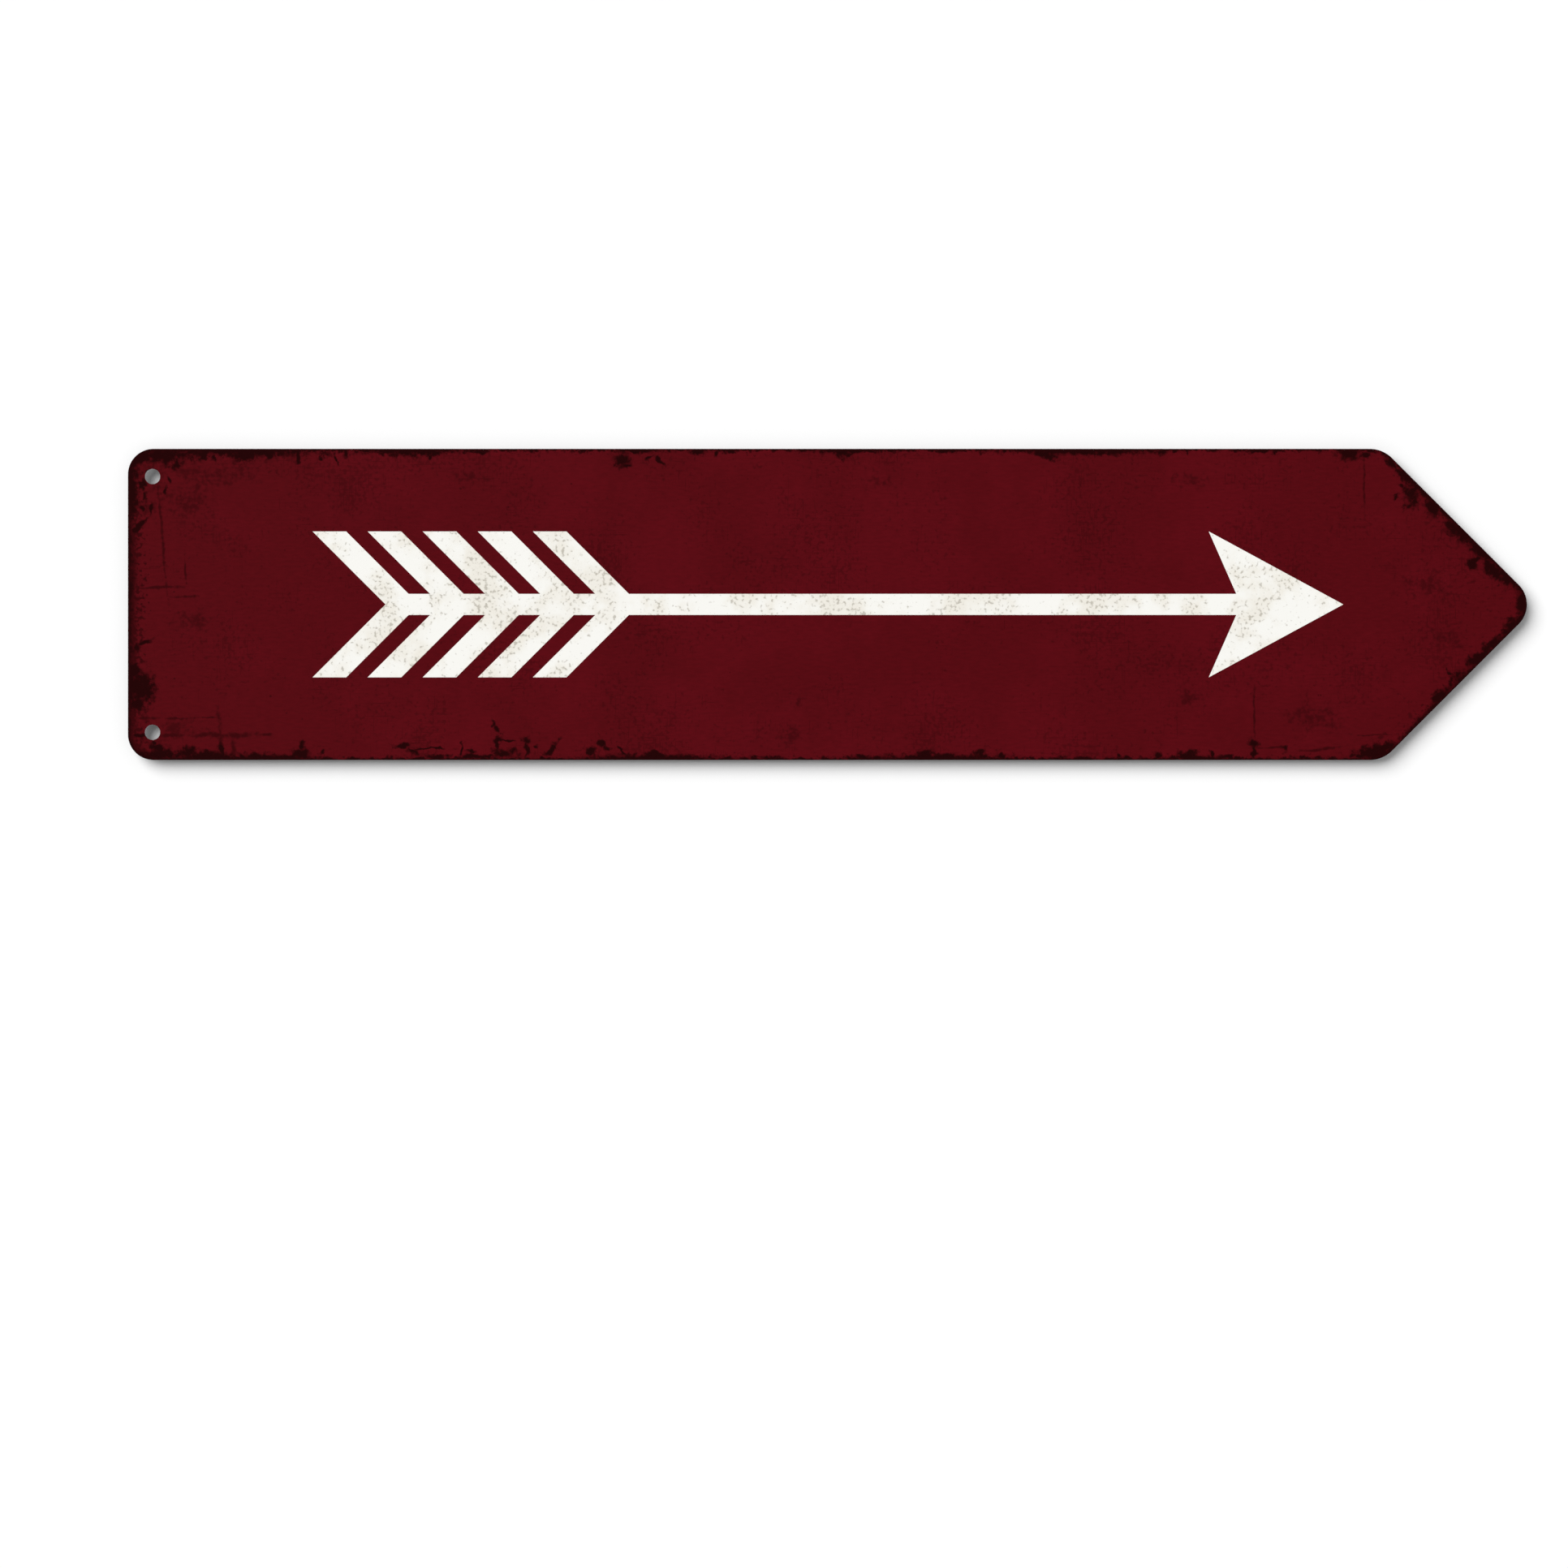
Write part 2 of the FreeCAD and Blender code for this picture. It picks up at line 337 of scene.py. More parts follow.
# The spans of the brushing from dull to bright and from rough to smooth, and the span over which a
# surface goes from cut to brushed as it turns to the front or the back.
TONE_SPAN = (0.34, 0.66)
SHEEN_SPAN = (0.3, 0.7)
BRUSHED_SPAN = (0.3, 0.9)
# The turn of the metal's drawn out reflections, where a whole turn is 1.
REFLECTION_TURN = 0.25

# How strongly the light follows the brush lines, the coat's peel and the pits in the ink.
BRUSH_BUMP = 0.5
PEEL_BUMP = 0.35
PIT_BUMP = 0.3

# A smooth minimum takes a sixth of its width off a corner.
CORNER_SHARE = 6
# The count of numbers in a vector, and a distance that is farther than any mark's.
LANES = 3
FAR_AWAY = 1e6

# Every third panel of the room is a bright one, its light falls off this sharply to either side,
# and the dullest panel has this share of it.
PANELS_PER_SWELL = 3
SWELL_SHARPNESS = 3.0
LEAST_PANEL = 0.3
# The camera sees from a hundredth of its distance to a hundred times as far.
CLIP_REACH = 100


def linear(*screen_values):
    """A colour as a screen shows it, from 0 to 255, in the linear values that shaders take."""
    return tuple(Color([value / 255 for value in screen_values]).from_srgb_to_scene_linear())


def length(name, description, millimetres):
    """A size that a user can change, given in millimetres."""
    return FloatProperty(
        name=name, description=description, default=millimetres * MM, unit="LENGTH", subtype="DISTANCE"
    )


def angle(name, description, degrees):
    """An angle that a user can change, given in degrees."""
    return FloatProperty(
        name=name, description=description, default=math.radians(degrees), unit="ROTATION", subtype="ANGLE"
    )


def share(name, description, value):
    """An amount from none to all."""
    return FloatProperty(
        name=name, description=description, default=value, min=0, max=1, subtype="FACTOR"
    )


def amount(name, description, value):
    """A strength or brightness from none upwards."""
    return FloatProperty(name=name, description=description, default=value, min=0)


def colour(name, description, *screen_values):
    """A colour that a user can change, given as a screen shows it."""
    return FloatVectorProperty(
        name=name, description=description, default=linear(*screen_values), min=0, max=1, subtype="COLOR"
    )


class SheetSettings(bpy.types.PropertyGroup):
    """The outline of the sheet and its bare metal."""

    tail_radius: length("Tail corners", "Rounding of the two tail corners", 8.3)
    shoulder_radius: length("Shoulders", "Rounding where a long edge turns to the point", 10.2)
    point_radius: length("Point", "Rounding of the point", 9.0)
    point_angle: angle("Point angle", "Angle between the two edges of the point", 90)
    edge_round: length("Eased edge", "Rounding of the cut edges", 0.15)
    metal: colour("Metal", "Brushed aluminium", 208, 209, 210)
    dull_metal: colour("Dull metal", "The darker of the brush lines", 172, 173, 175)
    cut_metal: colour("Cut metal", "The cut edges and the walls of the holes", 138, 139, 142)
    streak_length: length("Brush line length", "Length of the lines that brushing leaves", 24)
    streak_width: length("Brush line width", "Width of the lines that brushing leaves", 0.4)
    hair_length: length("Hair length", "Length of the finer lines between them", 6)
    hair_width: length("Hair width", "Width of the finer lines between them", 0.25)
    brush_depth: length("Brush depth", "Depth of the brush lines", 0.02)
    smooth: share("Smooth", "Roughness of the brightest brush lines", 0.2)
    rough: share("Rough", "Roughness of the dullest brush lines", 0.28)
    cut_rough: share("Cut", "How much rougher the cut edges are", 0.3)


class PrintSettings(bpy.types.PropertyGroup):
    """The maroon print that covers the front."""

    film: length("Film", "Thickness of the printed coat", 0.05)
    maroon: colour("Maroon", "The field", 89, 9, 18)
    deep_maroon: colour("Deep maroon", "The darker parts of the field", 84, 8, 16)
    worn: colour("Worn", "Where the print has gone dark", 33, 2, 3)
    tail_rim: length("Rim at the tail", "Depth of the dark rim along the tail edge", 2.5)
    long_rim: length("Rim on the long edges", "Depth of the dark rim along the long edges", 0.8)
    point_rim: length("Rim at the point", "Depth of the dark rim along the point", 1.5)
    spatter_size: length("Spatter", "Size of the finest specks in the wear", 1.3)
    flake_size: length("Flakes", "Size of the flakes in the wear", 4.2)
    vein_size: length("Veins", "Spacing of the thin veins in the wear", 3.6)
    drift_size: length("Drifts", "Size of the places where the dust is thicker", 30)
    hairline_width: length("Hairlines", "Width of the hairlines", 0.35)
    upright_hairline: length("Upright hairlines", "Length of the upright hairlines", 9)
    level_hairline: length("Level hairlines", "Length of the level hairlines", 11)
    pinhole_pitch: length("Pinhole pitch", "Spacing of the small dark dots", 5.2)
    cloud_size: length("Clouds", "Size of the lighter and darker parts of the field", 34)
    grain_length: length("Grain length", "Length of the fine grain of the field", 3.2)
    grain_width: length("Grain width", "Width of the fine grain of the field", 0.8)
    peel_size: length("Peel", "Size of the fine unevenness of the coat", 0.7)
    peel_depth: length("Peel depth", "Depth of the fine unevenness of the coat", 0.01)
    roughness: share("Roughness", "Roughness of the clean print", 0.5)
    worn_roughness: share("Worn roughness", "Roughness where the print has gone dark", 0.68)


class ArrowSettings(bpy.types.PropertyGroup):
    """The cream arrow printed on the field."""

    ink: length("Ink", "Thickness of the cream ink", 0.03)
    start: length("Start", "Distance of the feathers from the tail edge", 60.3)
    reach: length("Length", "Length of the arrow", 336.9)
    height: length("Height", "Height of the head and the feathers", 47.7)
    stroke: length("Shaft", "Width of the shaft", 6.9)
    head: length("Head", "Distance from the tip to the ends of the barbs", 44)
    sweep: length("Barb sweep", "How far the barbs reach back past the shaft's end", 9)
    feather: length("Feather", "Width of a feather along the shaft", 11)
    pitch: length("Feather pitch", "Distance from feather to feather", 18)
    feathers: IntProperty(name="Feathers", description="Pairs of feathers", default=5, min=1, max=9)
    cream: colour("Cream", "Clean ink", 249, 248, 243)
    aged_cream: colour("Aged cream", "Ink that has yellowed", 240, 236, 226)
    speck: colour("Specks", "Dirt in the ink", 150, 143, 128)
    patch_size: length("Patches", "Size of the yellowed patches", 22)
    cluster_size: length("Clusters", "Size of the clusters of specks", 8)
    speck_size: length("Speck size", "Size of the specks", 1.2)
    pit_depth: length("Pits", "Depth of the pits that the specks sit in", 0.015)
    roughness: share("Roughness", "Roughness of clean ink", 0.5)
    dirty_roughness: share("Dirty roughness", "Roughness of dirty ink", 0.65)


class StageSettings(bpy.types.PropertyGroup):
    """The floor, the wall, the light and the camera."""

    wall_gap: length("Wall gap", "Distance of the wall from the back of the sign", 4)
    floor_drop: length("Floor drop", "Distance of the floor below the middle of the sign", 450)
    extent: length("Extent", "Half width of the floor and the wall", 4000)
    view_width: length("View width", "Width of the picture where the sign hangs", 512.5)
    view_right: length("Sign right of middle", "Distance of the sign from the middle of the picture", 14.2)
    view_up: length("Sign above middle", "Height of the sign over the middle of the picture", 58.7)
    lens: FloatProperty(
        name="Lens", description="Focal length in millimetres", default=120, subtype="DISTANCE_CAMERA"
    )
    key_source: FloatVectorProperty(
        name="Key source",
        description="Direction that the key light comes from",
        default=(-0.66, -1.0, 0.56),
        subtype="DIRECTION",
    )
    key_strength: amount("Key", "Strength of the key light", 2.78)
    key_softness: angle("Key softness", "Angle that the key light fills", 49)
    floor_strength: amount("Floor light", "Strength of the light from straight above", 2.4)
    panel_strength: amount("Panels", "Brightness of the panels in metal", 2.1)
    panel_gap: amount("Panel gaps", "Brightness between the panels", 0.3)
    panel_turn: angle("Panel turn", "Direction of one of the brightest panels", 94.8)
    panel_pitch: angle("Panel pitch", "Angle from panel to panel", 6.2)
    fill: share("Fill", "Brightness of the room", 0.33)
    whiteness: amount("Whiteness", "Brightness of the wall and floor, over 1 for a clean white", 1.03)


class SignSettings(bpy.types.PropertyGroup):
    """All that a user can change."""

    sheet: PointerProperty(type=SheetSettings)
    print: PointerProperty(type=PrintSettings)
    arrow: PointerProperty(type=ArrowSettings)
    stage: PointerProperty(type=StageSettings)


class NodeDesk:
    """A tree of shader nodes, with short ways to add and join them."""

    def __init__(self, tree):
        self.tree = tree

    def feed(self, socket, value):
        """Join a socket to another one's output, or set it to a constant."""
        if isinstance(value, bpy.types.NodeSocket):
            self.tree.links.new(value, socket)
        else:
            socket.default_value = value

    def node(self, kind, *values, **settings):
        """Add a node, with its settings, and feed its first inputs in order."""
        made = self.tree.nodes.new(f"ShaderNode{kind}")
        for key, value in settings.items():
            setattr(made, key, value)
        for socket, value in zip(made.inputs, values):
            self.feed(socket, value)
        return made

    def math(self, operation, *values):
        """A sum on numbers."""
        return self.node("Math", *values, operation=operation).outputs["Value"]

    def vector(self, operation, *values):
        """A sum on vectors."""
        return self.node("VectorMath", *values, operation=operation).outputs["Vector"]

    def wave(self, turn, middle, period):
        """A field that swings from 0 to 1 and back each period of an angle, and is 1 at a middle."""
        phase = self.math("MULTIPLY", self.math("SUBTRACT", turn, middle), math.tau / period)
        return self.math("MULTIPLY_ADD", self.math("COSINE", phase), 0.5, 0.5)

    def largest(self, values):
        """The largest of several fields."""
        found = values[0]
        for value in values[1:]:
            found = self.math("MAXIMUM", found, value)
        return found

    def ease(self, value, low, high, to_low=0.0, to_high=1.0):
        """A smooth step from one value to another as a field goes from low to high."""
        made = self.node("MapRange", value, low, high, to_low, to_high, interpolation_type="SMOOTHSTEP")
        return made.outputs["Result"]

    def choose(self, field, off, on):
        """One value where a field is 0, and another where it is 1."""
        return self.ease(field, 0.0, 1.0, off, on)


class Finish(NodeDesk):
    """The nodes of one material."""

    def __init__(self, name):
        self.material = bpy.data.materials.new(name)
        self.material.use_nodes = True
        super().__init__(self.material.node_tree)
        self.shader = self.tree.nodes["Principled BSDF"]

    def give(self, socket, value):
        """Feed one of the shader's own sockets."""
        self.feed(self.shader.inputs[socket], value)

    def noise(self, place, size, detail=2.0, roughness=0.5):
        """Clouds of a given size, in the units of the place, the same all through the sheet."""
        made = self.node("TexNoise", noise_dimensions="2D")
        self.feed(made.inputs["Vector"], place)
        self.feed(made.inputs["Scale"], 1 / size)
        self.feed(made.inputs["Detail"], detail)
        self.feed(made.inputs["Roughness"], roughness)
        return made

    def cloud(self, place, size, detail=2.0, roughness=0.5):
        """Clouds from about 0 to about 1."""
        return self.noise(place, size, detail, roughness).outputs["Fac"]

    def swell(self, place, size, detail=2.0, roughness=0.5):
        """Clouds that go as far below 0 as above it."""
        return self.math("SUBTRACT", self.cloud(place, size, detail, roughness), 0.5)

    def veins(self, place, size, width):
        """Thin branching lines, as a field that is 1 along them and 0 away from them."""
        slopes = self.math("ABSOLUTE", self.swell(place, size, detail=3.0, roughness=0.62))
        return self.ease(slopes, 0.0, width, 1.0, 0.0)

    def mix(self, factor, first, second):
        """A blend of two colours."""
        made = self.node("Mix", data_type="RGBA")
        self.feed(made.inputs["Factor"], factor)
        for socket, value in (("A", first), ("B", second)):
            target = next(s for s in made.inputs if s.name == socket and s.type == "RGBA")
            self.feed(target, value if isinstance(value, bpy.types.NodeSocket) else (*value, 1))
        return next(s for s in made.outputs if s.type == "RGBA")

    def place(self):
        """Where a point lies, in millimetres: its x and its z in the frame of the sign."""
        found = self.node("TexCoord").outputs["Object"]
        parts = self.node("SeparateXYZ", found)
        return [self.math("DIVIDE", parts.outputs[axis], MM) for axis in "XZ"]

    def face_place(self):
        """Where a point lies on the face: millimetres from the tail edge and above the long axis."""
        x, z = self.place()
        from_tail = self.math("SUBTRACT", x, LOW.x / MM)
        return self.node("CombineXYZ", from_tail, z, 0.0).outputs["Vector"], from_tail, z

    def stretched(self, place, across, up):
        """A place drawn out, so that what is one unit there is this long and this high."""
        sizes = (across, up, 1)
        made = self.node("Mapping", place, (0, 0, 0), (0, 0, 0), sizes, vector_type="TEXTURE")
        return made.outputs["Vector"]

    def shaken(self, place, size, reach):
        """A place shifted about, by as much as the reach, in clouds of a given size."""
        clouds = self.noise(place, size).outputs["Color"]
        centred = self.vector("SUBTRACT", clouds, (0.5, 0.5, 0.5))
        return self.vector("MULTIPLY_ADD", centred, (reach, reach, reach), place)

    def turned(self, place, degrees):
        """The two coordinates of a place in axes that are turned about the sign's normal, each of
        them three times over in a vector."""
        turn = math.radians(degrees)
        coordinates = []
        for axis in ((math.cos(turn), math.sin(turn), 0), (-math.sin(turn), math.cos(turn), 0)):
            found = self.node("VectorMath", place, axis, operation="DOT_PRODUCT").outputs["Value"]
            coordinates.append(self.node("CombineXYZ", found, found, found).outputs["Vector"])
        return coordinates

    def marks(self, place, marks):
        """A field that is 1 in the middle of any mark, and 0 at its edge. The marks are measured
        three at a time, one in each number of a vector, which is quicker."""
        nearest = [FAR_AWAY] * LANES
        for turn in sorted({mark.turn for mark in marks}):
            along, across = self.turned(place, turn)
            alike = [mark for mark in marks if mark.turn == turn]
            for first in range(0, len(alike), LANES):
                found = self.mark_distances(along, across, alike[first:first + LANES])
                nearest = self.vector("MINIMUM", nearest, found)
        parts = self.node("SeparateXYZ", nearest).outputs
        least = self.math("MINIMUM", self.math("MINIMUM", parts["X"], parts["Y"]), parts["Z"])
        return self.math("SUBTRACT", 1.0, self.math("SQRT", least))

    def mark_distances(self, along, across, marks):
        """How far a place is from the middles of one to three marks with the same turn, squared,
        in shares of each mark's own half size."""
        three = (marks * LANES)[:LANES]
        turn = Matrix.Rotation(math.radians(three[0].turn), 2)
        middles = [Vector((mark.x, mark.z)) @ turn for mark in three]
        lengths = [mark.length for mark in three]
        widths = [mark.width for mark in three]
        lengthwise = self.offsets(along, [middle.x for middle in middles], lengths)
        sideways = self.offsets(across, [middle.y for middle in middles], widths)
        sideways_squared = self.vector("MULTIPLY", sideways, sideways)
        return self.vector("MULTIPLY_ADD", lengthwise, lengthwise, sideways_squared)

    def offsets(self, coordinate, middles, sizes):
        """How far a coordinate is from three middles, in shares of half of three sizes."""
        spread = [2 / size for size in sizes]
        shift = [-middle * scale for middle, scale in zip(middles, spread)]
        return self.vector("MULTIPLY_ADD", coordinate, spread, shift)

    def bump(self, height, depth, strength):
        """Raise the surface by a field, at most by a depth in metres."""
        made = self.node("Bump")
        self.feed(made.inputs["Height"], height)
        self.feed(made.inputs["Distance"], depth)
        self.feed(made.inputs["Strength"], strength)
        self.give("Normal", made.outputs["Normal"])


def edge_gap(finish, from_tail, z, sheet):
    """How far a point of the face lies from the plate's edge, in millimetres, up to the tail radius."""
    lean = sheet.point_angle / 2
    tail_radius = sheet.tail_radius / MM
    long_gap = finish.math("SUBTRACT", HALF_HEIGHT / MM, finish.math("ABSOLUTE", z))
    tail_over = finish.math("MAXIMUM", finish.math("SUBTRACT", tail_radius, from_tail), 0.0)
    long_over = finish.math("MAXIMUM", finish.math("SUBTRACT", tail_radius, long_gap), 0.0)
    tail_squared = finish.math("POWER", tail_over, 2.0)
    long_squared = finish.math("POWER", long_over, 2.0)
    over = finish.math("SQRT", finish.math("ADD", tail_squared, long_squared))
    body_gap = finish.math("SUBTRACT", tail_radius, over)

    # The point's two edges, joined softly in place of its arc, and so with the shoulders.
    sharp_end = (PLATE_LENGTH - sheet.point_radius + sheet.point_radius / math.sin(lean)) / MM
    along = finish.math("MULTIPLY", finish.math("SUBTRACT", sharp_end, from_tail), math.sin(lean))
    across = finish.math("MULTIPLY", z, math.cos(lean))
    upper_gap = finish.math("SUBTRACT", along, across)
    lower_gap = finish.math("ADD", along, across)
    point_blend = CORNER_SHARE * sheet.point_radius * (1 - math.sin(lean)) / MM
    shoulder_blend = CORNER_SHARE * sheet.shoulder_radius * (1 - math.cos(lean / 2)) / MM
    point_gap = finish.math("SMOOTH_MIN", upper_gap, lower_gap, point_blend)
    return finish.math("SMOOTH_MIN", body_gap, point_gap, shoulder_blend)


def rim_depth(finish, from_tail, settings):
    """How deep the dark rim is, in millimetres: one depth at each end and one on the long edges."""
    look = settings.print
    tail_extra = (look.tail_rim - look.long_rim) / MM
    point_extra = (look.point_rim - look.long_rim) / MM
    point_start = (PLATE_LENGTH - HALF_HEIGHT / math.tan(settings.sheet.point_angle / 2)) / MM
    from_point = finish.math("SUBTRACT", from_tail, point_start)
    tail_more = finish.ease(from_tail, *TAIL_RIM_SPAN, tail_extra, 0.0)
    point_more = finish.ease(from_point, *POINT_RIM_SPAN, 0.0, point_extra)
    return finish.math("ADD", look.long_rim / MM, finish.math("ADD", tail_more, point_more))


def print_wear(finish, place, from_tail, z, settings):
    """How worn the print is at a point, from 0 to 1."""
    look = settings.print
    spatter = finish.swell(place, look.spatter_size / MM, detail=1.0)
    flakes = finish.swell(place, look.flake_size / MM, detail=2.0, roughness=0.55)
    veins = finish.veins(place, look.vein_size / MM, VEIN_WIDTH)

    def roughened(field, wear):
        fine = finish.math("MULTIPLY_ADD", spatter, wear.spatter, field)
        flaked = finish.math("MULTIPLY_ADD", flakes, wear.flakes, fine)
        return finish.math("MULTIPLY_ADD", veins, wear.veins, flaked)

    def worn(field, wear):
        return finish.ease(roughened(field, wear), wear.start, wear.full, 0.0, wear.dark)

    # The rim's field grows inwards, so the rim is full at its low end.
    gap = roughened(edge_gap(finish, from_tail, z, settings.sheet), RIM_WEAR)
    depth = rim_depth(finish, from_tail, settings)
    depths_in = finish.math("DIVIDE", gap, depth)
    rim = finish.ease(depths_in, RIM_WEAR.full, RIM_WEAR.start, RIM_WEAR.dark, 0.0)
    # At the two ends specks thin out inwards from the rim.
    nearest_reach = -SPECK_REACH * look.long_rim / MM - SPECK_INSET
    reach = finish.math("MULTIPLY_ADD", depth, SPECK_REACH, nearest_reach)
    specks = worn(finish.math("SUBTRACT", reach, gap), SPECK_WEAR)

    ragged = finish.shaken(place, *RAGGED)
    wavy = finish.shaken(place, *WAVY)
    bruises = worn(finish.marks(ragged, TAIL_BRUISES + MIDDLE_BRUISES + POINT_BRUISES), BRUISE_WEAR)
    smudges = worn(finish.marks(ragged, SMUDGES), SMUDGE_WEAR)
    scratches = worn(finish.marks(wavy, SCRATCHES), SCRATCH_WEAR)
    dust = thin_dust(finish, place, spatter, look)
    dots = pinholes(finish, place, look.pinhole_pitch / MM)
    return finish.largest([rim, specks, bruises, smudges, scratches, dust, dots])


def thin_dust(finish, place, spatter, look):
    """A thin dust of specks and hairlines, thicker in some places than in others."""
    drifts = finish.cloud(place, look.drift_size / MM, detail=3.0, roughness=0.6)
    specks = finish.math("MULTIPLY_ADD", drifts, DUST_DRIFT, spatter)
    width = look.hairline_width / MM
    upright = finish.cloud(finish.stretched(place, width, look.upright_hairline / MM), 1.0)
    level = finish.cloud(finish.stretched(place, look.level_hairline / MM, width), 1.0)
    either = finish.math("MAXIMUM", upright, level)
    lines = finish.math("MULTIPLY_ADD", drifts, HAIRLINE_DRIFT, either)
    dust = finish.ease(specks, *DUST_SPAN, to_high=DUST_DARK)
    hairlines = finish.ease(lines, *HAIRLINE_SPAN, to_high=HAIRLINE_DARK)
    return finish.math("MAXIMUM", dust, hairlines)


def pinholes(finish, place, pitch):
    """Small dark dots, far apart, as a field of wear."""
    cells = finish.node("TexVoronoi", feature="F1")
    finish.feed(cells.inputs["Vector"], place)
    finish.feed(cells.inputs["Scale"], 1 / pitch)
    chance = finish.node("SeparateColor", cells.outputs["Color"]).outputs["Red"]
    size = finish.ease(chance, BARE_SHARE, 1.0, to_high=LARGEST_PINHOLE)
    from_middle = finish.math("DIVIDE", cells.outputs["Distance"], size)
    dot = finish.ease(from_middle, *PINHOLE_FADE, PINHOLE_DARK, 0.0)
    return finish.math("MULTIPLY", dot, finish.math("GREATER_THAN", chance, BARE_SHARE))


def maroon_finish(settings):
    """A matt maroon print: a fine mottled field, dark at its rim and where it is worn."""
    look = settings.print
    finish = Finish("worn maroon print")
    place, from_tail, z = finish.face_place()
    wear = print_wear(finish, place, from_tail, z, settings)

    # Clouds, deeper towards both ends of the sign.
    clouds = finish.cloud(place, look.cloud_size / MM, detail=4.0, roughness=0.6)
    from_middle = finish.math("ABSOLUTE", finish.math("SUBTRACT", from_tail, PLATE_LENGTH / 2 / MM))
    deeper = finish.ease(from_middle, *DEEPER_SPAN, to_high=DEEPER_SHARE)
    level = finish.ease(finish.math("SUBTRACT", clouds, deeper), *CLOUD_SPAN)
    field = finish.mix(level, look.deep_maroon, look.maroon)

    grain_place = finish.stretched(place, look.grain_length / MM, look.grain_width / MM)
    grain = finish.cloud(grain_place, 1.0, detail=3.0, roughness=0.6)
    grained = finish.node("HueSaturation")
    finish.feed(grained.inputs["Value"], finish.ease(grain, *GRAIN_SPAN, *GRAIN_LIGHT))
    finish.feed(grained.inputs["Color"], field)

    finish.give("Base Color", finish.mix(wear, grained.outputs["Color"], look.worn))
    finish.give("Roughness", finish.choose(wear, look.roughness, look.worn_roughness))
    finish.give("Specular IOR Level", PRINT_SPECULAR)
    finish.bump(finish.cloud(place, look.peel_size / MM), look.peel_depth, PEEL_BUMP)
    return finish.material


def cream_finish(settings):
    """Cream ink, yellowed in patches and specked with dirt, more in some patches than in others."""
    arrow = settings.arrow
    finish = Finish("specked cream print")
    place, _, _ = finish.face_place()
    patches = finish.cloud(place, arrow.patch_size / MM, detail=3.0, roughness=0.55)
    clusters = finish.cloud(place, arrow.cluster_size / MM, detail=3.0, roughness=0.6)
    ageing = finish.math("MULTIPLY_ADD", clusters, CLUSTER_AGEING, patches)
    aged = finish.ease(ageing, *AGEING_SPAN)
    ink = finish.mix(aged, arrow.cream, arrow.aged_cream)

    # Specks show where they rise over a level, and the level is lower in crowded places.
    specks = finish.cloud(place, arrow.speck_size / MM, detail=1.0)
    crowding = finish.math("MULTIPLY_ADD", patches, PATCH_CROWDING, clusters)
    level = finish.ease(crowding, *CROWDING_SPAN, *SPECK_LEVELS)
    dirt = finish.ease(finish.math("SUBTRACT", specks, level), *DIRT_SPAN, to_high=DIRT_DARK)

    finish.give("Base Color", finish.mix(dirt, ink, arrow.speck))
    roughness = finish.ease(dirt, *ROUGH_SPAN, arrow.roughness, arrow.dirty_roughness)
    finish.give("Roughness", roughness)
    finish.give("Specular IOR Level", PRINT_SPECULAR)
    finish.bump(finish.math("SUBTRACT", 1.0, dirt), arrow.pit_depth, PIT_BUMP)
    return finish.material


def metal_finish(settings):
    """Bare aluminium, brushed along the sign."""
    sheet = settings.sheet
    finish = Finish("brushed aluminium")
    x, z = finish.place()
    place = finish.node("CombineXYZ", x, z, 0.0).outputs["Vector"]
    line_place = finish.stretched(place, sheet.streak_length / MM, sheet.streak_width / MM)
    lines = finish.cloud(line_place, 1.0, detail=4.0, roughness=0.65)
    hair_place = finish.stretched(place, sheet.hair_length / MM, sheet.hair_width / MM)
    hairs = finish.math("MULTIPLY", finish.cloud(hair_place, 1.0), 1 - LINE_SHARE)
    streaks = finish.math("MULTIPLY_ADD", lines, LINE_SHARE, hairs)

    # The cut edges and the walls of the holes aren't brushed: they are rougher and darker.
    facing = finish.node("SeparateXYZ", finish.node("NewGeometry").outputs["Normal"]).outputs["Y"]
    cut = finish.ease(finish.math("ABSOLUTE", facing), *BRUSHED_SPAN, 1.0, 0.0)

    tone = finish.ease(streaks, *TONE_SPAN)
    brushed = finish.mix(tone, sheet.dull_metal, sheet.metal)
    sheen = finish.ease(streaks, *SHEEN_SPAN, sheet.rough, sheet.smooth)
    finish.give("Base Color", finish.mix(cut, brushed, sheet.cut_metal))
    finish.give("Metallic", 1.0)
    finish.give("Roughness", finish.math("MULTIPLY_ADD", cut, sheet.cut_rough, sheen))
    finish.give("Anisotropic", 1.0)
    finish.give("Anisotropic Rotation", REFLECTION_TURN)
    finish.bump(streaks, sheet.brush_depth, BRUSH_BUMP)
    return finish.material


def arc_points(centre, radius, first, last, steps):
    """Points along an arc, in x and z."""
    turns = [first + (last - first) * step / steps for step in range(steps + 1)]
    return [(centre[0] + radius * math.cos(turn), centre[1] + radius * math.sin(turn)) for turn in turns]


